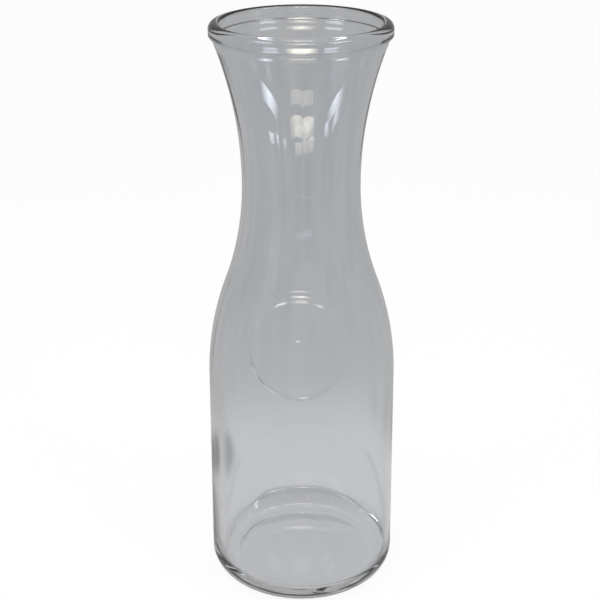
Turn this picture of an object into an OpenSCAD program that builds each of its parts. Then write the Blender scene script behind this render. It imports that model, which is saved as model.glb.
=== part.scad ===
// Litre water carafe: one clear glass moulding with a slightly tapered body,
// a long drawn-in neck, a flared mouth with a rounded bead, and a raised round
// medallion on the front of the shoulder. Millimetres, +Z up, standing plane
// at zero, front towards -Y. The zones of the moulding meet on flat cuts.

/* [Overall] */
// Height from the standing plane to the top of the lip
carafe_h = 270; // [262:1:280]
// Outer radius of the body just above the rounded heel
body_r = 44.4; // [43.8:0.2:47]
// Radius that the body loses on its way up from the heel to the shoulder
body_taper = 0.6; // [0:0.1:1.6]
// Outer radius of the waist, the narrowest ring of the neck
waist_r = 26.6; // [25.4:0.2:29]
// Outer radius of the bead round the mouth
bead_r = 39.9; // [39:0.1:42]

/* [Heights] */
// Height at which the shoulder starts to curve in
shoulder_h = 103.4; // [98:0.2:107]
// Height of the waist
waist_h = 198.4; // [192:0.4:206]
// Height of the bead, from its underside to the top of the lip
bead_h = 6.6; // [6:0.2:9]

/* [Glass] */
// Wall thickness of the body
body_wall_t = 3.4; // [2.6:0.1:4.4]
// Wall thickness at the waist
waist_wall_t = 4; // [3:0.1:5]
// Wall thickness of the flare just below the bead
mouth_wall_t = 3.6; // [3.2:0.1:3.9]
// Thickness of the floor at its edge
floor_t = 6.5; // [5:0.1:9]

/* [Base] */
// Radius of the rounded heel between the standing ring and the body
heel_r = 10; // [8:0.2:12]
// Width of the flat ring that the carafe stands on
standing_ring_w = 1.5; // [1:0.1:2.5]
// Rise of the shallow hollow under the base at its middle
hollow_h = 1.6; // [1:0.1:2.4]
// Sideways offset of the ring groove under the base from the axis
scar_offset = 6.4; // [4:0.1:8]
// Clearance between the ring groove and the standing ring
scar_clearance = 0.7; // [0.4:0.1:2]
// Width of the ring groove
scar_w = 0.8; // [0.6:0.1:1.2]
// Depth of the ring groove
scar_depth = 0.3; // [0.2:0.05:0.5]

/* [Mouth] */
// Overhang of the bead past the outside of the flare
bead_overhang = 1.3; // [1.3:0.1:2.2]
// Corner radius at the foot of the bead
bead_foot_r = 1.3; // [0.8:0.1:1.3]
// Outer corner radius of the lip
lip_out_r = 3.1; // [2.4:0.1:3.4]
// Inner corner radius of the lip
lip_in_r = 1.6; // [1.2:0.1:1.8]

/* [Medallion] */
// Diameter of the raised round medallion
medallion_d = 44.6; // [36:0.2:46]
// Rise of its middle above the start of the shoulder
medallion_rise = 29; // [25:0.5:32]
// How far it stands out of the shoulder
medallion_t = 0.7; // [0.5:0.1:1.2]
// Rise of the small dimple in its face above its middle
dimple_rise = 6.8; // [4:0.2:8]
// Diameter of the dimple
dimple_d = 5; // [4:0.2:6]
// Depth of the dimple
dimple_depth = 0.3; // [0.2:0.05:0.4]

/* [Hidden] */
$fa = 2;
$fs = 0.5;
hollow_steps = 900;
overrun = 3;
thin_glass = [0.80, 0.83, 0.85, 0.45];
thick_glass = [0.66, 0.71, 0.71, 0.6];

// Heights of the flat cuts between the zones
convex_share = 0.5;
shoulder_rise = waist_h - shoulder_h;
inflection_h = shoulder_h + convex_share * shoulder_rise;
bead_z = carafe_h - bead_h;
flare_rise = bead_z - waist_h;

// Base and body
floor_r = body_r - heel_r;
heel_in_r = heel_r - body_wall_t;
heel_top_h = floor_t + heel_in_r;
shoulder_r = body_r - body_taper;
body_in_r = body_r - body_wall_t;
shoulder_in_r = shoulder_r - body_wall_t;
standing_in_r = floor_r - standing_ring_w;
hollow_r = arc_radius(hollow_h, standing_in_r);
scar_out_r = standing_in_r - scar_clearance - scar_offset;

// Neck and mouth
waist_in_r = waist_r - waist_wall_t;
flare_top_r = bead_r - bead_overhang;
flare_top_in_r = flare_top_r - mouth_wall_t;
foot_r = bead_r - bead_foot_r;
lip_r = bead_r - lip_out_r;
mouth_r = lip_r - lip_in_r;

// Arcs of the S-shaped wall that leads from the body into the neck
out_turn = s_turn(shoulder_r - waist_r, shoulder_rise);
in_turn = s_turn(shoulder_in_r - waist_in_r, shoulder_rise);
convex_out_r = convex_share * shoulder_rise / sin(out_turn);
convex_in_r = convex_share * shoulder_rise / sin(in_turn);
concave_out_r = (1 - convex_share) * shoulder_rise / sin(out_turn);
concave_in_r = (1 - convex_share) * shoulder_rise / sin(in_turn);

// Arcs of the flare, upright at the waist
flare_out_r = arc_radius(flare_top_r - waist_r, flare_rise);
flare_in_r = arc_radius(flare_top_in_r - waist_in_r, flare_rise);

medallion_h = shoulder_h + medallion_rise;

// Turn of each arc of an S that covers dr sideways and dz upwards
function s_turn(dr, dz) = 2 * atan(dr / dz);

// Radius of an arc that has moved dr off its starting leg after dz along it
function arc_radius(dr, dz) = (dr * dr + dz * dz) / (2 * dr);

// Outer radius of the tapered body at height z
function body_at(z) = body_r + (shoulder_r - body_r) * (z - heel_r) / (shoulder_h - heel_r);

// Disc in the profile plane, centred at radius r and height z
module disc_at(r, z, disc_r) {
  translate([r, z])
    circle(r = disc_r);
}

// Rectangle in the profile plane between two heights, from the axis out
module band(z_low, z_high) {
  translate([0, z_low])
    square([2 * body_r, z_high - z_low]);
}

// Quarter of a disc, on the side of its centre that the two signs name
module quarter_disc(r, z, disc_r, side_r, side_z) {
  intersection() {
    disc_at(r, z, disc_r);
    translate([side_r > 0 ? r : r - disc_r, side_z > 0 ? z : z - disc_r])
      square(disc_r);
  }
}

// Puts its children at height h on the front of the shoulder, lifted along
// the surface's normal, which becomes their Z axis
module on_shoulder(h, lift) {
  tilt = asin((h - shoulder_h) / convex_out_r);
  reach = convex_out_r + lift;
  translate([0, convex_out_r - shoulder_r - reach * cos(tilt), shoulder_h + reach * sin(tilt)])
    rotate([90 - tilt, 0, 0])
      children();
}

// Shallow domed hollow under the base, sunk deeper by extra
module hollow(extra) {
  rotate_extrude()
    intersection() {
      disc_at(0, hollow_h - hollow_r, hollow_r + extra, $fn = hollow_steps);
      translate([0, -overrun])
        square([floor_r, hollow_h + 2 * overrun]);
    }
}

// Ring that reaches through the hollow, off the axis
module scar_ring() {
  translate([-scar_offset, 0, -overrun])
    difference() {
      cylinder(h = hollow_h + 2 * overrun, r = scar_out_r);
      cylinder(h = hollow_h + 2 * overrun, r = scar_out_r - scar_w);
    }
}

// Skin of medallion_t over the shoulder and the foot of the neck
module medallion_skin() {
  skin_top_h = medallion_h + medallion_d / 2 + medallion_t;
  rotate_extrude()
    union() {
      intersection() {
        difference() {
          disc_at(shoulder_r - convex_out_r, shoulder_h, convex_out_r + medallion_t);
          disc_at(shoulder_r - convex_out_r, shoulder_h, convex_out_r);
        }
        band(shoulder_h, inflection_h);
      }
      intersection() {
        disc_at(shoulder_r - convex_out_r, shoulder_h, convex_out_r + medallion_t);
        disc_at(waist_r + concave_out_r, waist_h, concave_out_r);
        band(inflection_h, skin_top_h);
      }
    }
}

module base_floor() {
  color(thick_glass)
    difference() {
      cylinder(h = floor_t, r = floor_r);
      hollow(0);
      intersection() {
        hollow(scar_depth);
        scar_ring();
      }
    }
}

module heel() {
  color(thick_glass)
    rotate_extrude()
      difference() {
        union() {
          quarter_disc(floor_r, heel_r, heel_r, 1, -1);
          polygon([
            [floor_r, heel_r],
            [body_r, heel_r],
            [body_at(heel_top_h), heel_top_h],
            [floor_r, heel_top_h]
          ]);
        }
        disc_at(floor_r, heel_top_h, heel_in_r);
      }
}

module body_wall() {
  color(thin_glass)
    rotate_extrude()
      polygon([
        [body_in_r, heel_top_h],
        [body_at(heel_top_h), heel_top_h],
        [shoulder_r, shoulder_h],
        [shoulder_in_r, shoulder_h]
      ]);
}

module shoulder() {
  color(thin_glass)
    rotate_extrude()
      intersection() {
        difference() {
          disc_at(shoulder_r - convex_out_r, shoulder_h, convex_out_r);
          disc_at(shoulder_in_r - convex_in_r, shoulder_h, convex_in_r);
        }
        band(shoulder_h, inflection_h);
      }
}

module neck() {
  color(thin_glass)
    rotate_extrude()
      intersection() {
        difference() {
          disc_at(waist_in_r + concave_in_r, waist_h, concave_in_r);
          disc_at(waist_r + concave_out_r, waist_h, concave_out_r);
        }
        band(inflection_h, waist_h);
      }
}

module mouth_flare() {
  color(thin_glass)
    rotate_extrude()
      intersection() {
        difference() {
          disc_at(waist_in_r + flare_in_r, waist_h, flare_in_r);
          disc_at(waist_r + flare_out_r, waist_h, flare_out_r);
        }
        band(waist_h, bead_z);
      }
}

module rim_bead() {
  color(thick_glass)
    rotate_extrude()
      union() {
        polygon([
          [flare_top_in_r, bead_z],
          [foot_r, bead_z],
          [foot_r, bead_z + bead_foot_r],
          [bead_r, bead_z + bead_foot_r],
          [bead_r, carafe_h - lip_out_r],
          [lip_r, carafe_h - lip_out_r],
          [lip_r, carafe_h - lip_in_r],
          [mouth_r, carafe_h - lip_in_r]
        ]);
        quarter_disc(foot_r, bead_z + bead_foot_r, bead_foot_r, 1, -1);
        quarter_disc(lip_r, carafe_h - lip_out_r, lip_out_r, 1, 1);
        quarter_disc(lip_r, carafe_h - lip_in_r, lip_in_r, -1, 1);
      }
}

module front_medallion() {
  color(thin_glass)
    difference() {
      intersection() {
        medallion_skin();
        on_shoulder(medallion_h, -medallion_d / 2)
          cylinder(h = medallion_d, d = medallion_d);
      }
      on_shoulder(medallion_h + dimple_rise, medallion_t - dimple_depth)
        cylinder(h = overrun, d = dimple_d);
    }
}

base_floor();
heel();
body_wall();
shoulder();
neck();
mouth_flare();
rim_bead();
front_medallion();
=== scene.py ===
"""Litre water carafe of clear soda-lime glass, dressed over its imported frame.

The carafe is one glass moulding, so the scene carries one closed skin: up the
outside from the hollow under the base to the lip, and down the inside to the
floor. The skin is a profile carried round the axis, with the raised medallion,
the ring groove under the base and the uneven wall of machine-made glass worked
into it. Lengths are millimetres until they go into a mesh or an object.
"""

from __future__ import annotations

import logging
import math
from dataclasses import dataclass, field, replace
from enum import Enum

import bpy
import numpy as np
from mathutils import Euler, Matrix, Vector

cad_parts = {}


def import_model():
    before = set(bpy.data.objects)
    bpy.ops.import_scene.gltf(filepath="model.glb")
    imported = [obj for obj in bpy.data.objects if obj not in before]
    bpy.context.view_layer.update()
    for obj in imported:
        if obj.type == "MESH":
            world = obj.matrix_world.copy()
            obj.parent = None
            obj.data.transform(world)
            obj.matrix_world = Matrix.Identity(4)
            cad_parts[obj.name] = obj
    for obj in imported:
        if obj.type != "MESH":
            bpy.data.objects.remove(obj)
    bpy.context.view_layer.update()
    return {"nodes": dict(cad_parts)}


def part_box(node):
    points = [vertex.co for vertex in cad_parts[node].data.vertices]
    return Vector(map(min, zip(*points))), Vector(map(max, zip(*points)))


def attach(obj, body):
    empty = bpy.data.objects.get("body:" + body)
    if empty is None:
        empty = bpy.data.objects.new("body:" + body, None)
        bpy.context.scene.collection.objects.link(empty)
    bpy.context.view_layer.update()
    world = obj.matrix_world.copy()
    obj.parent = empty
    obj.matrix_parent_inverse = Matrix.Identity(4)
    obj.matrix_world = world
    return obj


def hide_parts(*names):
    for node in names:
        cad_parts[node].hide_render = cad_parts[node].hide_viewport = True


Array = np.ndarray
Pair = tuple[float, float]
Point = tuple[float, float, float]
Table = tuple[tuple[float, ...], ...]
Tree = bpy.types.NodeTree
Socket = bpy.types.NodeSocket

LOG = logging.getLogger("carafe")
BODY = "root"
MM = 0.001
TINY = 1e-6
AIM_PARTING = 0.3
WARM = "FFF7E6"
COOL = "E9F3FF"
PURE = "FFFFFF"
FRONT = math.radians(-90.0)
QUARTER = math.pi / 2


class Skin(Enum):
    """The two sides of the glass wall."""

    OUTER = "outer"
    INNER = "inner"


def smooth(share: Array) -> Array:
    """Eases a share from 0 to 1 with flat ends: 3s^2 - 2s^3, held outside 0..1.

    Args:
        share: how far along the step each point is.

    Returns:
        The eased share.
    """
    held = np.clip(share, 0.0, 1.0)
    return held * held * (3.0 - 2.0 * held)


def swell(angle: Array, centre_deg: float, half_width_deg: float) -> Array:
    """A raised cosine round the axis: 1 at the centre, 0 past the half width.

    Args:
        angle: angles round the axis in radians.
        centre_deg: angle of the crest in degrees.
        half_width_deg: distance from the crest to where it has died out.

    Returns:
        The height of the swell at each angle.
    """
    off = np.abs((angle - math.radians(centre_deg) + np.pi) % (2 * np.pi) - np.pi)
    return 0.5 + 0.5 * np.cos(np.pi * np.clip(off / math.radians(half_width_deg), 0.0, 1.0))


def waves(terms: Table, angle: Array, up: Array) -> Array:
    """Sum of share * cos(count * angle + phase + twist * up) over the terms.

    Args:
        terms: share, count round the axis, phase and twist of each wave.
        angle: angles round the axis in radians.
        up: heights as shares of the carafe's height.

    Returns:
        The height of the waves at each point.
    """
    return sum(share * np.cos(count * angle + phase + twist * up) for share, count, phase, twist in terms)


def arc(centre: Pair, radius: float, start: float, end: float, steps: int) -> Array:
    """Points on an arc in the profile plane: centre + radius * (cos a, sin a).

    Args:
        centre: radius and height of the arc's centre.
        radius: radius of the arc.
        start: first angle in radians, from the outward direction upwards.
        end: last angle in radians.
        steps: number of points, both ends included.

    Returns:
        An array of (radius, height) rows.
    """
    turn = np.linspace(start, end, steps)
    return np.stack([centre[0] + radius * np.cos(turn), centre[1] + radius * np.sin(turn)], axis=1)


@dataclass(frozen=True)
class WallLine:
    """One side of the wall, from the body to the flare, as tangent arcs.

    The body is a straight taper, the shoulder and the neck are two equal arcs
    that make an S, and the flare is one arc that starts upright at the waist.
    """

    foot_r: float
    foot_h: float
    shoulder_r: float
    shoulder_h: float
    waist_r: float
    waist_h: float
    flare_r: float
    flare_h: float

    @property
    def s_radius(self) -> float:
        """Radius of each arc of the S: half its rise over the sine of its turn."""
        rise = self.waist_h - self.shoulder_h
        turn = 2 * math.atan((self.shoulder_r - self.waist_r) / rise)
        return 0.5 * rise / math.sin(turn)

    @property
    def flare_radius(self) -> float:
        """Radius of the flare's arc, from its sideways and upward reach."""
        out, rise = self.flare_r - self.waist_r, self.flare_h - self.waist_h
        return (out * out + rise * rise) / (2 * out)

    def radius(self, z: Array) -> Array:
        """Radius of the wall at each height: taper, convex arc, concave arc, flare.

        Args:
            z: heights above the standing plane.

        Returns:
            The radius at each height.
        """
        s, flare = self.s_radius, self.flare_radius
        past_shoulder, past_waist = z - self.shoulder_h, z - self.waist_h
        gained = (self.shoulder_r - self.foot_r) * (z - self.foot_h) / (self.shoulder_h - self.foot_h)
        taper = self.foot_r + gained
        convex = self.shoulder_r - s + np.sqrt(np.maximum(s * s - past_shoulder**2, 0.0))
        concave = self.waist_r + s - np.sqrt(np.maximum(s * s - past_waist**2, 0.0))
        open_arc = self.waist_r + flare - np.sqrt(np.maximum(flare * flare - past_waist**2, 0.0))
        middle = 0.5 * (self.shoulder_h + self.waist_h)
        below = [z < self.shoulder_h, z < middle, z < self.waist_h]
        return np.select(below, [taper, convex, concave], open_arc)

    def lean(self, z: Array) -> Array:
        """Angle of the wall's outward normal above the horizontal, by central difference."""
        step = 0.5
        return np.arctan2(self.radius(z - step) - self.radius(z + step), 2 * step)


@dataclass(frozen=True)
class CarafeSizes:
    """Sizes of the moulding in millimetres: the frame's own, and those of its detail."""

    carafe_h: float
    bead_z: float
    bead_r: float
    flare_top_r: float
    waist_h: float
    shoulder_h: float
    shoulder_r: float
    heel_top_h: float
    body_r: float
    floor_r: float
    floor_t: float
    waist_r: float = 26.6
    waist_wall_t: float = 4.0
    mouth_wall_t: float = 3.6
    lip_out_r: float = 3.1
    lip_in_r: float = 1.6
    hollow_h: float = 1.6
    standing_ring_w: float = 1.5
    scar_offset: float = 6.4
    scar_out_r: float = 25.8
    scar_w: float = 2.4
    scar_depth: float = 0.2

    @classmethod
    def from_frame(cls) -> CarafeSizes:
        """Reads the zones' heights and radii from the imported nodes.

        Returns:
            The sizes, those of the detail at their defaults.
        """
        rim_low, rim_high = (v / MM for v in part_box("rim_bead"))
        _, flare_high = (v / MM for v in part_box("mouth_flare"))
        _, neck_high = (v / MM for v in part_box("neck"))
        shoulder_low, shoulder_high = (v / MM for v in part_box("shoulder"))
        _, heel_high = (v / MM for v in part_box("heel"))
        _, floor_high = (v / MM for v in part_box("base_floor"))
        return cls(
            carafe_h=rim_high.z,
            bead_z=rim_low.z,
            bead_r=rim_high.x,
            flare_top_r=flare_high.x,
            waist_h=neck_high.z,
            shoulder_h=shoulder_low.z,
            shoulder_r=shoulder_high.x,
            heel_top_h=heel_high.z,
            body_r=heel_high.x,
            floor_r=floor_high.x,
            floor_t=floor_high.z,
        )

    @property
    def heel_r(self) -> float:
        """Radius of the rounded outer heel."""
        return self.body_r - self.floor_r

    @property
    def heel_in_r(self) -> float:
        """Radius of the rounded corner inside the heel."""
        return self.heel_top_h - self.floor_t

    @property
    def body_wall_t(self) -> float:
        """Wall thickness of the body."""
        return self.heel_r - self.heel_in_r

    @property
    def mouth_r(self) -> float:
        """Radius of the mouth at the inner corner of the lip."""
        return self.bead_r - self.lip_out_r - self.lip_in_r

    def wall(self, skin: Skin) -> WallLine:
        """The line of the wall on one side of the glass.

        Args:
            skin: which side.

        Returns:
            The line, its lengths less the wall's thickness on the inner side.
        """
        if skin is Skin.OUTER:
            return WallLine(
                self.body_r, self.heel_r, self.shoulder_r, self.shoulder_h,
                self.waist_r, self.waist_h, self.flare_top_r, self.bead_z,
            )
        return WallLine(
            self.body_r - self.body_wall_t, self.heel_top_h,
            self.shoulder_r - self.body_wall_t, self.shoulder_h,
            self.waist_r - self.waist_wall_t, self.waist_h,
            self.flare_top_r - self.mouth_wall_t, self.bead_z,
        )

    def hollow(self, r: Array) -> Array:
        """Height of the domed hollow under the base at radius r: a shallow ball cap.

        Args:
            r: distance from the axis.

        Returns:
            Height above the standing plane, 0 from the standing ring out.
        """
        edge = self.floor_r - self.standing_ring_w
        ball = (edge * edge + self.hollow_h**2) / (2 * self.hollow_h)
        return np.maximum(np.sqrt(ball * ball - r * r) - (ball - self.hollow_h), 0.0)


@dataclass(frozen=True)
class Medallion:
    """The raised round medallion on the front of the shoulder, with its dimple.

    Its flank runs from a round crest out to a taller toe, so that it is sharp
    on the left, softer on the right and long at the top. A shallow groove runs
    down beside its left edge, and low flow rings lie above it. Places are
    taken in the plane that touches the shoulder at the medallion's middle.
    """

    rise: float = 29.0
    lift: float = 0.7
    crest_r: float = 20.3
    crest_x: float = -1.6
    crest_up: float = 0.5
    toe_half_w: float = 21.7
    toe_half_h: float = 24.1
    toe_x: float = -0.8
    toe_up: float = 1.5
    dimple_rise: float = 6.8
    dimple_d: float = 5.0
    dimple_depth: float = 0.3
    dimple_rim_h: float = 0.29
    dimple_rim_w: float = 0.65
    groove_out: float = 1.25
    groove_w: float = 0.45
    groove_depth: float = 0.6
    groove_mid_deg: float = 205.0
    groove_half_deg: float = 85.0
    ring_pitch: float = 2.25
    ring_start: float = 1.7
    ring_count: int = 3
    ring_fade: float = 0.5
    ring_fade_from: float = -0.75
    ring_fade_to: float = -0.25
    ring_h: float = 0.133
    ring_fall: float = 0.42
    ring_half_deg: float = 62.0

    def rings(self, x: Array, along: Array) -> Array:
        """Faint flow rings above the crest: a sine of the distance past it.

        They fade in and out over ring_fade of a pitch, from before the first
        ring and to before the end of the last. They are lower by the crest
        than far from it, and die out away from the top.

        Args:
            x: sideways distance from the crest's middle.
            along: upward distance from the crest's middle.

        Returns:
            The height of the rings.
        """
        past = np.hypot(x, along) - self.crest_r
        turns = (past - self.ring_start) / self.ring_pitch
        fade_in = smooth((turns - self.ring_fade_from) / self.ring_fade)
        fade_out = smooth((self.ring_count + self.ring_fade_to - turns) / self.ring_fade)
        near_top = swell(np.arctan2(along, x), 90.0, self.ring_half_deg)
        height = self.ring_h * (1.0 - self.ring_fall * (1.0 - turns / self.ring_count))
        return -height * np.sin(2.0 * np.pi * turns) * fade_in * fade_out * near_top

    def relief(self, x: Array, y: Array, z: Array, wall: WallLine) -> Array:
        """How far the medallion lifts each point of the outer skin along its normal.

        The lift eases from the toe to the crest by the share of the way
        between them. The dimple is a smooth dish with a low bell-shaped rim,
        and the groove is a bell-shaped furrow along the edge.

        Args:
            x: sideways places of the points.
            y: front-to-back places.
            z: heights.
            wall: the outer line of the wall.

        Returns:
            The lift at each point, 0 away from the medallion and at the back.
        """
        middle_h = wall.shoulder_h + self.rise
        tilt = float(wall.lean(np.array(middle_h)))
        from_front = y + float(wall.radius(np.array(middle_h)))
        along = from_front * math.sin(tilt) + (z - middle_h) * math.cos(tilt)
        off_x, off_up = x - self.crest_x, along - self.crest_up
        past_crest = np.maximum(np.hypot(off_x, off_up) - self.crest_r, 0.0)
        round_toe = np.hypot((x - self.toe_x) / self.toe_half_w, (along - self.toe_up) / self.toe_half_h)
        inside_toe = np.maximum((1.0 - round_toe) * self.toe_half_w, 0.0)
        face = smooth(inside_toe / np.maximum(inside_toe + past_crest, TINY))
        off_dimple = np.hypot(off_x, along - self.dimple_rise)
        dish = smooth(1.0 - off_dimple / (0.5 * self.dimple_d))
        dish_rim = np.exp(-(((off_dimple - 0.5 * self.dimple_d) / self.dimple_rim_w) ** 2))
        beside = swell(np.arctan2(off_up, off_x), self.groove_mid_deg, self.groove_half_deg)
        groove = np.exp(-(((past_crest - self.groove_out) / self.groove_w) ** 2)) * beside
        height = self.lift * face + self.rings(off_x, off_up) - self.groove_depth * groove
        dimple = self.dimple_rim_h * dish_rim - self.dimple_depth * dish
        return np.where(y < 0.0, height + dimple, 0.0)


@dataclass(frozen=True)
class UnevenGlass:
    """How the blown inner side departs from the mould's turned form.

    The waves are given as in waves(), and the corner as pairs of an angle in
    degrees and the height of the upper crease there.
    """

    mean_extra: float = 0.45
    shift: float = 0.85
    shift_toward_deg: float = 184.0
    shift_twist: float = -0.5
    wave: float = 0.22
    wave_terms: Table = (
        (1.0, 2.0, 1.1, 3.0),
        (0.6, 3.0, -2.3, -5.0),
        (0.35, 5.0, 0.4, 4.0),
    )
    ridge: float = 0.05
    ridge_terms: Table = (
        (1.0, 17.0, 0.7, 0.0),
        (0.8, 26.0, 2.0, 1.5),
        (0.6, 41.0, 4.1, -2.0),
    )
    ridge_from: float = 0.85
    ridge_fade_h: float = 40.0
    top_fade_h: float = 60.0
    wall_crease_r: float = 3.0
    slope_deg: float = 43.0
    join_w: float = 0.55
    join_reach: float = 4.0
    corner: tuple[Pair, ...] = (
        (0.0, 12.6), (38.0, 13.4), (57.0, 15.4), (78.0, 17.8), (92.0, 17.6),
        (115.0, 18.2), (138.0, 14.2), (165.0, 13.2), (200.0, 12.8),
        (245.0, 11.4), (290.0, 10.8), (330.0, 11.6), (360.0, 12.6),
    )
    corner_fade_h: float = 22.0

    def wall_extra(self, angle: Array, z: Array, sizes: CarafeSizes) -> Array:
        """Glass added to the inner wall: a thick side, slow waves and upright ridges.

        Args:
            angle: angle round the axis of each point.
            z: height of each point.
            sizes: the carafe's sizes.

        Returns:
            How far the inner wall moves towards the axis.
        """
        up = z / sizes.carafe_h
        toward = math.radians(self.shift_toward_deg)
        thick_side = self.shift * np.cos(angle - toward + self.shift_twist * up)
        slow = self.wave * waves(self.wave_terms, angle, up)
        drawn = smooth((z - self.ridge_from * sizes.shoulder_h) / self.ridge_fade_h)
        ridges = self.ridge * drawn * waves(self.ridge_terms, angle, up)
        fade = smooth((sizes.carafe_h - sizes.lip_in_r - z) / self.top_fade_h)
        return (self.mean_extra + thick_side + slow + ridges) * fade

    def corner_top(self, angle: Array) -> Array:
        """Height of the inner corner's upper crease round the base.

        The named heights are joined by eased steps, so the crease reads as a
        rounded polygon: the glass has piled up at the back and run thin at
        the back corners.

        Args:
            angle: angle round the axis.

        Returns:
            The height of the crease.
        """
        places, heights = np.array(self.corner).T
        turn = np.degrees(angle) % 360.0
        after = np.searchsorted(places, turn, side="right")
        before_deg, after_deg = places[after - 1], places[after]
        share = smooth((turn - before_deg) / (after_deg - before_deg))
        return heights[after - 1] + (heights[after] - heights[after - 1]) * share


@dataclass(frozen=True)
class RowCounts:
    """How many rows of points each stretch of the skin gets, both its ends included."""

    under_cap: int = 8
    scar: int = 13
    heel: int = 15
    body: int = 26
    medallion: int = 124
    neck: int = 28
    seam: int = 18
    bead_foot: int = 8
    bead_face: int = 6
    lip_out: int = 10
    lip_in: int = 7
    in_bead: int = 5
    inner_wall: int = 78
    crease: int = 9
    slope: int = 7
    join: int = 15
    flat: int = 15


@dataclass(frozen=True)
class ScarMark:
    """The ring groove that the mould's base plate leaves, deeper on some sides.

    Each side is the angle of its middle and its half width, in degrees. The
    rows across the groove are in groove widths from its outer radius, and
    those on the standing ring in ring widths from its two edges.
    """

    stretch: float = 0.08
    back: float = 1.8
    rows_span: Pair = (-1.3, 0.3)
    ring_insets: Pair = (0.3, 0.2)
    everywhere: float = 0.25
    less_behind: float = 0.2
    more_beside: float = 0.75
    left_share: float = 0.7
    behind: Pair = (90.0, 65.0)
    right: Pair = (-10.0, 45.0)
    left: Pair = (190.0, 60.0)

    def strength(self, angle: Array) -> Array:
        """Depth of the groove at each angle round the axis, as a share of its full depth."""
        beside = np.maximum(swell(angle, *self.right), self.left_share * swell(angle, *self.left))
        return self.everywhere - self.less_behind * swell(angle, *self.behind) + self.more_beside * beside


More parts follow.
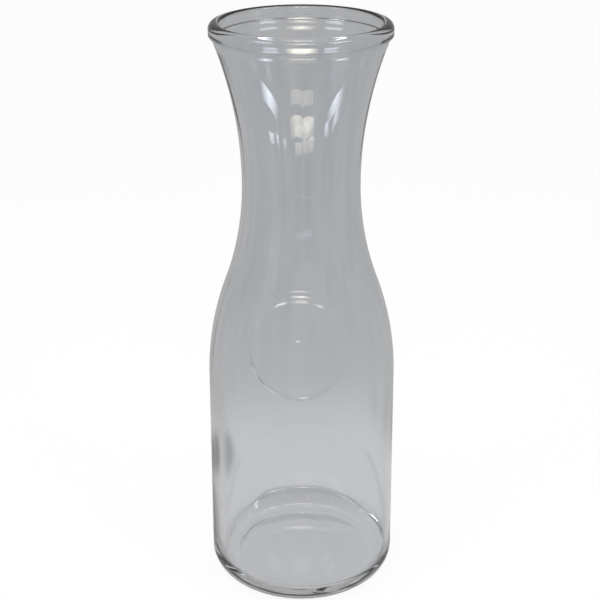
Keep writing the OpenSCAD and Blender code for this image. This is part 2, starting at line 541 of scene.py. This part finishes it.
@dataclass
class GlassMoulding:
    """The whole carafe as one closed skin of glass.

    The rows_ values place the outer wall's rows over the medallion, and
    middle_extra is how far the floor's top lies above the frame's.
    """

    sizes: CarafeSizes
    medallion: Medallion = field(default_factory=Medallion)
    uneven: UnevenGlass = field(default_factory=UnevenGlass)
    scar: ScarMark = field(default_factory=ScarMark)
    counts: RowCounts = field(default_factory=RowCounts)
    seam_drop: float = 3.3
    seam_w: float = 0.9
    seam_h: float = 0.1
    seam_reach: float = 2.5
    rows_past_toe: float = 1.6
    rows_lift: float = 1.0
    rows_mix: Pair = (0.45, 0.55)
    foot_r: float = 1.3
    face_lean: float = 0.7
    face_half_deg: float = 85.0
    middle_extra: float = 2.6
    edge_from_deg: float = 22.0
    edge_to_deg: float = 38.0
    edge_step_deg: float = 0.32
    front_step_deg: float = 0.75
    step_deg: float = 3.5

    def angles(self) -> Array:
        """Angles round the axis: closest at the medallion's two edges, widest behind.

        Returns:
            The angles in radians, once round from the front.
        """
        stops = [-self.edge_to_deg, -self.edge_from_deg, self.edge_from_deg, self.edge_to_deg]
        stops.append(360.0 - self.edge_to_deg)
        steps = [self.edge_step_deg, self.front_step_deg, self.edge_step_deg, self.step_deg]
        runs = [
            np.linspace(low, high, round((high - low) / step) + 1)[:-1]
            for low, high, step in zip(stops[:-1], stops[1:], steps)
        ]
        return FRONT + np.radians(np.concatenate(runs))

    def outer_heights(self) -> Array:
        """Heights of the outer wall's rows: closest at the medallion's ends and the seam.

        Across the medallion the heights run as a mix of u and sin(90 deg * u)
        for even steps of u from -1 to 1.

        Returns:
            The heights, from just above the heel to the foot of the bead.
        """
        s, m, n = self.sizes, self.medallion, self.counts
        reach = m.toe_half_h + self.rows_past_toe
        middle = s.shoulder_h + m.rise + m.toe_up + self.rows_lift
        even = np.linspace(-1.0, 1.0, n.medallion)
        evenly, crowded = self.rows_mix
        seam_low = s.bead_z - self.seam_drop - self.seam_reach * self.seam_w
        return np.concatenate([
            np.linspace(s.heel_r, middle - reach, n.body)[1:-1],
            middle + reach * (evenly * even + crowded * np.sin(QUARTER * even)),
            np.linspace(middle + reach, seam_low, n.neck)[1:-1],
            np.linspace(seam_low, s.bead_z, n.seam),
        ])

    def underside(self, angle: Array) -> Array:
        """The hollow and the standing ring, as circles that slide to the ring groove.

        Inside the groove the circles share its centre and are a little longer
        from front to back, and from there out their centres move evenly back
        to the axis. Height is the ball cap plus a rounded groove.

        Args:
            angle: angles round the axis.

        Returns:
            Points of the rows from the middle outwards, shaped (rows, angles, 3).
        """
        s, n, scar = self.sizes, self.counts, self.scar
        edge = s.floor_r - s.standing_ring_w
        groove = s.scar_out_r + np.linspace(*scar.rows_span, n.scar) * s.scar_w
        inside = np.linspace(0.0, groove[0], n.under_cap)[1:-1]
        outside = np.linspace(groove[-1], edge, n.under_cap)[1:]
        from_edge, from_rim = scar.ring_insets
        ring = np.array([edge + from_edge * s.standing_ring_w, s.floor_r - from_rim * s.standing_ring_w])
        radius = np.concatenate([inside, groove, outside, ring])[:, None]
        off_axis = 1.0 - np.clip((radius - groove[-1]) / (edge - groove[-1]), 0.0, 1.0)
        x = radius * np.cos(angle) - s.scar_offset * off_axis
        y = radius * np.sin(angle) * (1.0 + scar.stretch * off_axis) + scar.back * off_axis
        off = np.abs(radius - (s.scar_out_r - 0.5 * s.scar_w)) / (0.5 * s.scar_w)
        z = s.hollow(np.hypot(x, y)) + s.scar_depth * (1.0 - smooth(off)) * scar.strength(angle)
        return np.stack([x, y, np.where(radius > edge, 0.0, z)], axis=2)

    def outer_profile(self) -> Array:
        """Heel, wall, bead and lip, from the standing ring to the mouth.

        Returns:
            An array of (radius, height) rows.
        """
        s, n = self.sizes, self.counts
        heights = self.outer_heights()
        seam = self.seam_h * np.exp(-(((heights - s.bead_z + self.seam_drop) / self.seam_w) ** 2))
        wall = np.stack([s.wall(Skin.OUTER).radius(heights) + seam, heights], axis=1)
        lip = (s.bead_r - s.lip_out_r, s.carafe_h - s.lip_out_r)
        lip_in = (lip[0], s.carafe_h - s.lip_in_r)
        face = np.linspace(s.bead_z + self.foot_r, lip[1], n.bead_face)[1:]
        return np.concatenate([
            arc((s.floor_r, s.heel_r), s.heel_r, -QUARTER, 0.0, n.heel),
            wall,
            arc((s.flare_top_r, s.bead_z + self.foot_r), self.foot_r, -QUARTER, 0.0, n.bead_foot)[1:],
            np.stack([np.full_like(face, s.bead_r), face], axis=1),
            arc(lip, s.lip_out_r, 0.0, QUARTER, n.lip_out)[1:],
            arc(lip_in, s.lip_in_r, QUARTER, 2 * QUARTER, n.lip_in)[1:],
        ])

    def inner_profile(self) -> Array:
        """Inner side of the bead and the wall, down to the end of the crease.

        Returns:
            An array of (radius, height) rows, from the mouth down.
        """
        s, n = self.sizes, self.counts
        inner = s.wall(Skin.INNER)
        top = s.carafe_h - s.lip_in_r
        in_bead = np.linspace(top, s.bead_z, n.in_bead)[1:]
        bead_r = inner.flare_r + (s.mouth_r - inner.flare_r) * (in_bead - s.bead_z) / (top - s.bead_z)
        heights = np.linspace(s.bead_z, s.heel_top_h, n.inner_wall)[1:-1]
        crease_r = self.uneven.wall_crease_r
        corner = (s.floor_r + s.heel_in_r - crease_r, s.heel_top_h)
        return np.concatenate([
            np.stack([bead_r, in_bead], axis=1),
            np.stack([inner.radius(heights), heights], axis=1),
            arc(corner, crease_r, 0.0, math.radians(self.uneven.slope_deg) - QUARTER, n.crease),
        ])

    def floor_rows(self, top_r: Array, top_z: Array) -> tuple[Array, Array]:
        """The slope from the crease down to the flat floor, joined softly.

        The height above the floor is the slope's fall times the join's width
        times ln(1 + e^(distance past the slope's foot / that width)), which is
        straight on the slope, level on the floor and rounded between them.

        Args:
            top_r: radius of the slope's top round the axis.
            top_z: height of the slope's top round the axis.

        Returns:
            The radius and the height of each point, both shaped (rows, angles).
        """
        u, n = self.uneven, self.counts
        floor_z = self.sizes.floor_t + self.middle_extra
        fall = math.tan(math.radians(u.slope_deg))
        foot_r = top_r - (top_z - floor_z) / fall
        reach = u.join_reach * u.join_w
        slope = np.linspace(top_r, foot_r + reach, n.slope)[1:]
        join = foot_r + np.linspace(reach, -reach, n.join)[1:, None]
        flat = (foot_r - reach) * np.linspace(1.0, 0.0, n.flat)[1:-1, None]
        r = np.concatenate([slope, join, flat])
        return r, floor_z + fall * u.join_w * np.log1p(np.exp((r - foot_r) / u.join_w))

    def outer_rows(self, angle: Array) -> Array:
        """The outer profile carried round the axis, lifted by the medallion.

        At the front the bead's face leans in towards its foot.

        Args:
            angle: angles round the axis.

        Returns:
            Points shaped (rows, angles, 3).
        """
        s = self.sizes
        profile = self.outer_profile()
        wall = s.wall(Skin.OUTER)
        r, z = profile[:, :1], profile[:, 1:]
        face = s.carafe_h - s.lip_out_r - s.bead_z
        on_bead = (r > s.flare_top_r) & (z > s.bead_z)
        low_on_face = np.clip((s.bead_z + face - z) / face, 0.0, 1.0) * on_bead
        front = swell(angle, math.degrees(FRONT), self.face_half_deg)
        r = r - (r - s.flare_top_r) * self.face_lean * low_on_face * front
        x, y = r * np.cos(angle), r * np.sin(angle)
        on_wall = (z > s.heel_r) & (z < s.bead_z)
        lift = np.where(on_wall, self.medallion.relief(x, y, z + 0.0 * x, wall), 0.0)
        lean = wall.lean(z)
        out = r + lift * np.cos(lean)
        return np.stack([out * np.cos(angle), out * np.sin(angle), z + lift * np.sin(lean)], axis=2)

    def inner_rows(self, angle: Array) -> Array:
        """The inner profile and the floor carried round the axis, uneven as blown glass is.

        The wall moves in by the extra glass, and the floor's rows by less and
        less of it towards the middle. The corner rises and falls round the
        base, and the wall's rows with it, less and less up to corner_fade_h.

        Args:
            angle: angles round the axis.

        Returns:
            Points shaped (rows, angles, 3).
        """
        s, u = self.sizes, self.uneven
        profile = self.inner_profile()
        wall_r, wall_z = profile[:, :1] + 0.0 * angle, profile[:, 1:] + 0.0 * angle
        near_base = 1.0 - smooth((wall_z - s.heel_top_h) / u.corner_fade_h)
        risen_z = wall_z + (u.corner_top(angle) - s.heel_top_h) * near_base
        floor_r, floor_z = self.floor_rows(wall_r[-1], risen_z[-1])
        share = (floor_r / wall_r[-1]) ** 2
        inward = np.concatenate([u.wall_extra(angle, wall_z, s), u.wall_extra(angle, wall_z[-1], s) * share])
        out = np.concatenate([wall_r, floor_r]) - inward
        z = np.concatenate([risen_z, floor_z])
        return np.stack([out * np.cos(angle), out * np.sin(angle), z], axis=2)

    def build(self) -> bpy.types.Object:
        """Joins the rows into one closed mesh, with a point at each middle.

        Returns:
            The finished object, in metres.
        """
        angle = self.angles()
        rows = np.concatenate([self.underside(angle), self.outer_rows(angle), self.inner_rows(angle)])
        s = self.sizes
        middle = np.array([-s.scar_offset, self.scar.back])
        below = np.append(middle, s.hollow(np.array(np.hypot(*middle))))
        above = np.array([0.0, 0.0, s.floor_t + self.middle_extra])
        return closed_skin("glass_carafe", rows * MM, below * MM, above * MM)

    def dress(self, carafe: bpy.types.Object) -> None:
        """Gives the skin its glass."""
        carafe.data.materials.append(SodaLimeGlass().make())


def closed_skin(name: str, rows: Array, start: Array, end: Array) -> bpy.types.Object:
    """Makes a closed mesh from rings of points and a point at each end.

    Ring i, place j has the number i * places + j. Four neighbours make a face
    that points away from the glass, and each end is a fan of triangles.

    Args:
        name: name of the object.
        rows: points shaped (rings, places, 3), places anticlockwise from above.
        start: the point inside the first ring.
        end: the point inside the last ring.

    Returns:
        The new object, linked to the scene.
    """
    rings, places, _ = rows.shape
    co = np.concatenate([rows.reshape(-1, 3), start[None], end[None]])
    here = np.arange(places)
    after = (here + 1) % places
    ring = (np.arange(rings - 1) * places)[:, None]
    quads = np.stack([ring + here, ring + after, ring + places + after, ring + places + here], axis=2)
    last = (rings - 1) * places
    first_fan = np.stack([np.full(places, rings * places), after, here], axis=1)
    last_fan = np.stack([np.full(places, rings * places + 1), last + here, last + after], axis=1)
    corners = np.concatenate([quads.reshape(-1), first_fan.reshape(-1), last_fan.reshape(-1)])
    sides = np.concatenate([np.full(quads.size // 4, 4), np.full(2 * places, 3)])
    mesh = bpy.data.meshes.new(name)
    mesh.vertices.add(len(co))
    mesh.vertices.foreach_set("co", co.astype(np.float32).ravel())
    mesh.loops.add(len(corners))
    mesh.loops.foreach_set("vertex_index", corners.astype(np.int32))
    mesh.polygons.add(len(sides))
    mesh.polygons.foreach_set("loop_start", np.concatenate([[0], np.cumsum(sides)[:-1]]).astype(np.int32))
    mesh.update(calc_edges=True)
    mesh.validate()
    mesh.shade_smooth()
    piece = bpy.data.objects.new(name, mesh)
    bpy.context.scene.collection.objects.link(piece)
    return piece


def linear(colour: str) -> tuple[float, float, float, float]:
    """Turns an sRGB hex colour to linear light, with full alpha.

    Args:
        colour: six hex digits.

    Returns:
        Red, green, blue and alpha.
    """
    parts = [int(colour[i : i + 2], 16) / 255.0 for i in (0, 2, 4)]
    light = [p / 12.92 if p <= 0.04045 else ((p + 0.055) / 1.055) ** 2.4 for p in parts]
    return light[0], light[1], light[2], 1.0


def add_node(tree: Tree, kind: str, inputs: dict | None = None, **settings: object) -> bpy.types.Node:
    """Adds a node, sets it, and fills or links its inputs.

    Args:
        tree: the node tree.
        kind: the node's type name.
        inputs: input name or number to a value, or to an output to link from.
        settings: attributes of the node.

    Returns:
        The new node.
    """
    node = tree.nodes.new(kind)
    for key, value in settings.items():
        setattr(node, key, value)
    for key, value in (inputs or {}).items():
        if isinstance(value, Socket):
            tree.links.new(value, node.inputs[key])
        else:
            node.inputs[key].default_value = value
    return node


@dataclass(frozen=True)
class Fade:
    """A level that eases from one value to another over a span of what it follows.

    What it follows is a distance or a height, and the span is where the easing
    starts and ends, all in metres.
    """

    follows: Socket
    span: Pair
    levels: Pair = (0.0, 1.0)


def faded(tree: Tree, *fades: Fade) -> Socket:
    """Adds the product of the fades' levels.

    Args:
        tree: the node tree.
        fades: the fades.

    Returns:
        The output that carries the product.
    """
    levels = []
    for fade in fades:
        (start, end), (first, last) = fade.span, fade.levels
        ends = {"Value": fade.follows, "From Min": start, "From Max": end, "To Min": first, "To Max": last}
        level = add_node(tree, "ShaderNodeMapRange", ends, interpolation_type="SMOOTHSTEP")
        levels.append(level.outputs["Result"])
    product = levels[0]
    for level in levels[1:]:
        product = add_node(tree, "ShaderNodeMath", {0: product, 1: level}, operation="MULTIPLY").outputs[0]
    return product


@dataclass(frozen=True)
class SodaLimeGlass:
    """Clear soda-lime glass, blown and pressed in an iron mould.

    To the eye: colourless with a cool grey cast where light crosses several
    walls, olive where it runs along the thick heel, fire-polished outside, and
    faintly rippled from the mould and the blowing.
    """

    tint: str = "FCFDFF"
    streak_tint: str = "EFF2F6"
    streak_mm: float = 7.0
    streak_detail: float = 2.0
    streak_range: Pair = (0.35, 0.72)
    streak_low_mm: float = 85.0
    streak_high_mm: float = 165.0
    depth_colour: str = "C6C8C2"
    depth_density: float = 4.0
    ior: float = 1.52
    roughness: float = 0.0
    ripple_mm: float = 26.0
    ripple_detail: float = 1.0
    ripple_upright: float = 0.25
    ripple_depth_mm: float = 0.02
    drawn_upright: float = 0.06
    drawn_mm: float = 6.0
    drawn_detail: float = 1.5
    drawn_depth_mm: float = 0.1
    drawn_low_mm: float = 138.0
    drawn_high_mm: float = 232.0
    drawn_fade_mm: float = 25.0

    def make(self) -> bpy.types.Material:
        """Builds the node material.

        Returns:
            The material.
        """
        material = bpy.data.materials.new("soda_lime_glass")
        material.use_nodes = True
        tree = material.node_tree
        tree.nodes.clear()
        place = add_node(tree, "ShaderNodeTexCoord").outputs["Object"]
        height = add_node(tree, "ShaderNodeSeparateXYZ", {"Vector": place}).outputs["Z"]
        noise = self.upright_noise(tree, place, self.drawn_upright, self.streak_mm, self.streak_detail)
        low, high = self.streak_range
        streaks = add_node(tree, "ShaderNodeMapRange", {"Value": noise, "From Min": low, "From Max": high})
        higher = faded(tree, Fade(height, (self.streak_low_mm * MM, self.streak_high_mm * MM)))
        both = {0: streaks.outputs["Result"], 1: higher}
        drawn_out = add_node(tree, "ShaderNodeMath", both, operation="MULTIPLY").outputs[0]
        tints = {"Factor": drawn_out, 6: linear(self.tint), 7: linear(self.streak_tint)}
        tint = add_node(tree, "ShaderNodeMix", tints, data_type="RGBA")
        glass = add_node(
            tree,
            "ShaderNodeBsdfPrincipled",
            {
                "Base Color": tint.outputs[2],
                "Roughness": self.roughness,
                "IOR": self.ior,
                "Transmission Weight": 1.0,
                "Normal": self.relief(tree, place, height),
            },
        )
        inside = {"Color": linear(self.depth_colour), "Density": self.depth_density}
        depth = add_node(tree, "ShaderNodeVolumeAbsorption", inside)
        ends = {"Surface": glass.outputs["BSDF"], "Volume": depth.outputs["Volume"]}
        add_node(tree, "ShaderNodeOutputMaterial", ends)
        return material

    def upright_noise(
        self, tree: Tree, place: Socket, upright: float, size_mm: float, detail: float
    ) -> Socket:
        """Noise drawn out upright, as the glass was in the mould.

        Args:
            tree: the node tree.
            place: object coordinates.
            upright: its size sideways over its size upright.
            size_mm: its size sideways.
            detail: its levels of detail.

        Returns:
            The output that carries it.
        """
        drawn = add_node(tree, "ShaderNodeMapping", {"Vector": place, "Scale": (1.0, 1.0, upright)})
        return add_node(
            tree,
            "ShaderNodeTexNoise",
            {"Vector": drawn.outputs["Vector"], "Scale": 1.0 / (size_mm * MM), "Detail": detail},
        ).outputs["Fac"]

    def relief(self, tree: Tree, place: Socket, height: Socket) -> Socket:
        """Slow flow ripples everywhere, and upright drawn ridges from the shoulder to the waist.

        Args:
            tree: the node tree.
            place: object coordinates.
            height: their Z.

        Returns:
            The bumped normal.
        """
        ripple = self.upright_noise(tree, place, self.ripple_upright, self.ripple_mm, self.ripple_detail)
        depth = self.ripple_depth_mm * MM
        rippled = add_node(tree, "ShaderNodeBump", {"Height": ripple, "Strength": 1.0, "Distance": depth})
        drawn = self.upright_noise(tree, place, self.drawn_upright, self.drawn_mm, self.drawn_detail)
        low, high, fade = self.drawn_low_mm, self.drawn_high_mm, self.drawn_fade_mm
        above_low = Fade(height, (low * MM, (low + fade) * MM))
        below_high = Fade(height, (high * MM, (high - fade) * MM))
        return add_node(
            tree,
            "ShaderNodeBump",
            {
                "Height": drawn,
                "Strength": faded(tree, above_low, below_high),
                "Distance": self.drawn_depth_mm * MM,
                "Normal": rippled.outputs["Normal"],
            },
        ).outputs["Normal"]


@dataclass(frozen=True)
class Ground:
    """The pale grey ground and room that the glass shows, under a white page for the camera.

    To the eye: clear glass takes its colour from what lies behind it. Light
    grey paper lies close round the carafe, with a somewhat darker room beyond.
    A painted shadow dims the paper under the base and in a ring close by the
    heel, and painted shade darkens it at each dark place. A dark place is its
    x and y, the radii where it starts and stops to fade, and its share of the
    level. Lengths are metres.
    """

    near_level: float = 0.548
    far_level: float = 0.402
    near_reach: float = 0.115
    far_reach: float = 0.215
    high_level: float = 0.4
    low_z: float = 0.3
    high_z: float = 0.65
    # painted shadow: the floor's level dims under the base and in a ring close by the heel
    base_shadow_level: float = 0.98
    base_shadow_reach: Pair = (0.03, 0.05)
    heel_shadow_level: float = 0.76
    heel_shadow_reach: float = 0.053
    heel_shadow_width: float = 0.013
    # painted shade: darker patches on the floor at these places, seen only in the glass
    painted_shade_places: Table = (
        (-0.0895, 0.094, 0.012, 0.036, 0.22),
        (0.1, 0.13, 0.0, 0.055, 0.6),
    )

    def for_glass(self, tree: Tree, level: Socket) -> Socket:
        """1 to the camera, and the level to every other ray: the greater of the two."""
        camera = add_node(tree, "ShaderNodeLightPath").outputs["Is Camera Ray"]
        return add_node(tree, "ShaderNodeMath", {0: camera, 1: level}, operation="MAXIMUM").outputs[0]

    def floor_level(self, tree: Tree) -> Socket:
        """The floor's level by distance from the axis.

        It is less under the base and close by the heel, where a shadow is painted, and at each dark place,
        where shade is painted.

        Args:
            tree: the node tree.

        Returns:
            The output that carries it.
        """
        place = add_node(tree, "ShaderNodeTexCoord").outputs["Object"]
        reach = add_node(tree, "ShaderNodeVectorMath", {0: place}, operation="LENGTH").outputs["Value"]
        # distance from the ring of painted shadow close by the heel
        past_heel_shadow = add_node(tree, "ShaderNodeMath", {0: reach, 1: self.heel_shadow_reach}, operation="SUBTRACT")
        off_heel_shadow = add_node(tree, "ShaderNodeMath", {0: past_heel_shadow.outputs[0]}, operation="ABSOLUTE")
        # the paper's fall-off, then the painted shadow under the base and by the heel
        fades = [
            Fade(reach, (self.near_reach, self.far_reach), (self.near_level, self.far_level)),
            Fade(reach, self.base_shadow_reach, (self.base_shadow_level, 1.0)),
            Fade(off_heel_shadow.outputs[0], (0.0, self.heel_shadow_width), (self.heel_shadow_level, 1.0)),
        ]
        # painted shade at each dark place
        for x, y, inner, outer, share in self.painted_shade_places:
            off = add_node(tree, "ShaderNodeVectorMath", {0: place, 1: (x, y, 0.0)}, operation="DISTANCE")
            fades.append(Fade(off.outputs["Value"], (inner, outer), (share, 1.0)))
        return self.for_glass(tree, faded(tree, *fades))

    def room_level(self, tree: Tree) -> Socket:
        """The room's level, by how far up the ray looks.

        Args:
            tree: the node tree.

        Returns:
            The output that carries it.
        """
        way = add_node(tree, "ShaderNodeTexCoord").outputs["Generated"]
        up = add_node(tree, "ShaderNodeSeparateXYZ", {"Vector": way}).outputs["Z"]
        fade = Fade(up, (self.low_z, self.high_z), (self.far_level, self.high_level))
        return self.for_glass(tree, faded(tree, fade))


@dataclass(frozen=True)
class PaleFloor:
    """A matt white photographic floor that reads as white to the eye and keeps the shadow."""

    colour: str = "F6F6F6"
    own_light_share: float = 0.9
    ground: Ground = Ground()

    def make(self) -> bpy.types.Material:
        """Builds the node material: matt paint, mixed with the ground's level where it is looked at.

        Returns:
            The material.
        """
        material = bpy.data.materials.new("pale_floor")
        material.use_nodes = True
        tree = material.node_tree
        tree.nodes.clear()
        shares = {0: looked_at(tree), 1: self.own_light_share}
        share = add_node(tree, "ShaderNodeMath", shares, operation="MULTIPLY")
        paint = add_node(tree, "ShaderNodeBsdfDiffuse", {"Color": linear(self.colour)})
        # the level carries the painted shadow and the painted shade patches, seen in the glass
        level = self.ground.floor_level(tree)
        white = add_node(tree, "ShaderNodeEmission", {"Color": linear(PURE), "Strength": level})
        mix = {0: share.outputs[0], 1: paint.outputs[0], 2: white.outputs[0]}
        mixed = add_node(tree, "ShaderNodeMixShader", mix)
        add_node(tree, "ShaderNodeOutputMaterial", {"Surface": mixed.outputs[0]})
        return material


def looked_at(tree: Tree) -> Socket:
    """1 for camera, glossy and transmission rays, and 0 for rays that only light things.

    Args:
        tree: the node tree.

    Returns:
        The output that carries it.
    """
    path = add_node(tree, "ShaderNodeLightPath").outputs
    off_or_through = {0: path["Is Glossy Ray"], 1: path["Is Transmission Ray"]}
    by_glass = add_node(tree, "ShaderNodeMath", off_or_through, operation="MAXIMUM")
    either = {0: path["Is Camera Ray"], 1: by_glass.outputs[0]}
    return add_node(tree, "ShaderNodeMath", either, operation="MAXIMUM").outputs[0]


@dataclass(frozen=True)
class SoftBox:
    """A rectangular soft lamp that faces one point, with a grid that narrows its beam.

    Lengths are metres, and the brightness is the radiance at the beam's middle.
    """

    name: str
    place: Point
    aim: Point
    width: float
    height: float
    brightness: float
    colour: str
    spread_deg: float

    @property
    def gain(self) -> float:
        """How much brighter the grid makes the middle of the beam: tan h / (tan h - h)."""
        half = math.radians(0.5 * self.spread_deg)
        return math.tan(half) / (math.tan(half) - half)

    def build(self) -> None:
        """Makes the lamp, its power being brightness times pi times area over the gain."""
        data = bpy.data.lights.new(self.name, "AREA")
        data.shape = "RECTANGLE"
        data.size = self.width
        data.size_y = self.height
        data.spread = math.radians(self.spread_deg)
        data.energy = self.brightness * math.pi * self.width * self.height / self.gain
        data.color = linear(self.colour)[:3]
        lamp = bpy.data.objects.new(self.name, data)
        lamp.location = self.place
        lamp.rotation_mode = "QUATERNION"
        lamp.rotation_quaternion = (Vector(self.aim) - Vector(self.place)).to_track_quat("-Z", "Y")
        lamp.visible_camera = False
        bpy.context.scene.collection.objects.link(lamp)


def bent(panel: SoftBox, bend_deg: float) -> tuple[SoftBox, SoftBox]:
    """Splits a long panel into halves that meet in a shallow V, its ends nearer the carafe.

    The halves aim apart by AIM_PARTING of the way between their middles.

    Args:
        panel: the straight panel.
        bend_deg: how far the halves' middles lie in front of the fold, as an angle.

    Returns:
        The left half and the right half.
    """
    (x, y, z), (aim_x, aim_y, aim_z) = panel.place, panel.aim
    reach = 0.25 * panel.width
    nearer = reach * math.tan(math.radians(bend_deg))
    return tuple(
        replace(
            panel,
            name=f"{panel.name}_{part}",
            place=(x + side * reach, y + nearer, z),
            aim=(aim_x + side * reach * AIM_PARTING, aim_y, aim_z),
            width=0.5 * panel.width,
        )
        for part, side in (("left", -1.0), ("right", 1.0))
    )


@dataclass
class Studio:
    """The pale floor, the even surroundings, the soft lamps and the camera, in metres."""

    floor_reach: float = 6.0
    floor_first: float = 0.05
    floor_sides: int = 96
    floor_rings: int = 12
    light_grey: float = 0.8
    camera_back: float = 0.5606
    camera_up: float = 0.3805
    camera_down_deg: float = 23.197
    camera_left_deg: float = 0.069
    camera_roll_deg: float = -0.109
    focal_px: float = 1310.1
    frame_px: float = 600.0
    sensor_mm: float = 36.0
    clip_near: float = 0.01
    clip_far: float = 50.0
    ground: Ground = Ground()
    lamps: tuple[SoftBox, ...] = (
        *bent(
            SoftBox("low_near", (0.006, -0.267, 0.022), (0.0, -0.034, 0.25), 0.172, 0.015, 3.2, WARM, 40.0),
            bend_deg=9.0,
        ),
        *bent(
            SoftBox("low_far", (0.008, -0.312, 0.024), (0.0, -0.032, 0.27), 0.225, 0.024, 9.0, WARM, 28.0),
            bend_deg=8.0,
        ),
        SoftBox("low_left", (-0.245, -0.185, 0.012), (-0.013, -0.03, 0.272), 0.184, 0.018, 16.0, COOL, 24.0),
        SoftBox("low_right", (0.272, -0.172, 0.012), (0.013, -0.03, 0.272), 0.155, 0.016, 13.0, COOL, 24.0),
        SoftBox("low_medallion", (0.0, -0.112, 0.014), (0.0, -0.046, 0.1331), 0.2, 0.03, 7.5, PURE, 28.0),
        SoftBox("high_middle", (0.0, -0.8, 0.87), (0.0, -0.035, 0.15), 1.0, 0.27, 13.0, WARM, 40.0),
        SoftBox("high_left", (-0.63, -0.47, 0.85), (0.0, -0.035, 0.15), 0.42, 0.27, 9.5, COOL, 50.0),
        SoftBox("high_right", (0.63, -0.47, 0.85), (0.0, -0.035, 0.15), 0.42, 0.27, 9.5, COOL, 50.0),
    )

    def build(self) -> None:
        """Makes the whole studio."""
        self.make_floor()
        self.make_world()
        self.make_camera()
        for lamp in self.lamps:
            lamp.build()

    def make_floor(self) -> None:
        """A round floor: rings of points from the middle outwards, all at height 0."""
        sides = self.floor_sides
        angle = np.linspace(0.0, 2 * math.pi, sides + 1)[:-1]
        reach = np.geomspace(self.floor_first, self.floor_reach, self.floor_rings)[:, None]
        ring = np.stack([reach * np.cos(angle), reach * np.sin(angle)], axis=2).reshape(-1, 2)
        points = np.concatenate([[[0.0, 0.0]], ring])
        flat = np.concatenate([points, np.zeros((len(points), 1))], axis=1)
        here, after = np.arange(sides), (np.arange(sides) + 1) % sides
        fan = np.stack([np.zeros(sides, int), 1 + here, 1 + after], axis=1)
        row = 1 + sides * np.arange(self.floor_rings - 1)[:, None]
        corners = [row + here, row + sides + here, row + sides + after, row + after]
        quads = np.stack(corners, axis=2).reshape(-1, 4)
        mesh = bpy.data.meshes.new("floor")
        mesh.from_pydata(flat.tolist(), [], fan.tolist() + quads.tolist())
        mesh.materials.append(PaleFloor().make())
        floor = bpy.data.objects.new("floor", mesh)
        bpy.context.scene.collection.objects.link(floor)

    def make_world(self) -> None:
        """White to the camera, pale grey in glass, and plain grey light for the rest."""
        world = bpy.data.worlds.new("studio")
        bpy.context.scene.world = world
        world.use_nodes = True
        tree = world.node_tree
        tree.nodes.clear()
        levels = {"Factor": looked_at(tree), 2: self.light_grey, 3: self.ground.room_level(tree)}
        level = add_node(tree, "ShaderNodeMix", levels, data_type="FLOAT").outputs[0]
        light = add_node(tree, "ShaderNodeBackground", {"Color": linear(PURE), "Strength": level})
        add_node(tree, "ShaderNodeOutputWorld", {"Surface": light.outputs[0]})

    def make_camera(self) -> None:
        """A long lens a little above the rim, looking down on the carafe."""
        data = bpy.data.cameras.new("camera")
        data.sensor_width = self.sensor_mm
        data.lens = self.focal_px / self.frame_px * self.sensor_mm
        data.clip_start = self.clip_near
        data.clip_end = self.clip_far
        camera = bpy.data.objects.new("camera", data)
        camera.location = (0.0, -self.camera_back, self.camera_up)
        camera.rotation_mode = "QUATERNION"
        down, left = math.radians(self.camera_down_deg), math.radians(self.camera_left_deg)
        aim = Euler((QUARTER - down, 0.0, left)).to_quaternion()
        roll = Euler((0.0, 0.0, math.radians(self.camera_roll_deg))).to_quaternion()
        camera.rotation_quaternion = aim @ roll
        bpy.context.scene.collection.objects.link(camera)
        bpy.context.scene.camera = camera


def main() -> None:
    """Loads the frame, builds and dresses the carafe and its studio, and logs the carafe's faces and the
    lamps.
    """
    logging.basicConfig(level=logging.INFO, format="%(name)s: %(message)s")
    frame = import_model()
    sizes = CarafeSizes.from_frame()
    moulding = GlassMoulding(sizes)
    carafe = moulding.build()
    moulding.dress(carafe)
    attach(carafe, BODY)
    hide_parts(*sorted(frame["nodes"]))
    LOG.info("%s: %d faces", carafe.name, len(carafe.data.polygons))
    studio = Studio()
    studio.build()
    bpy.context.scene.view_settings.view_transform = "Standard"
    LOG.info("studio: %d lamps", len(studio.lamps))


if __name__ == "__main__":
    main()
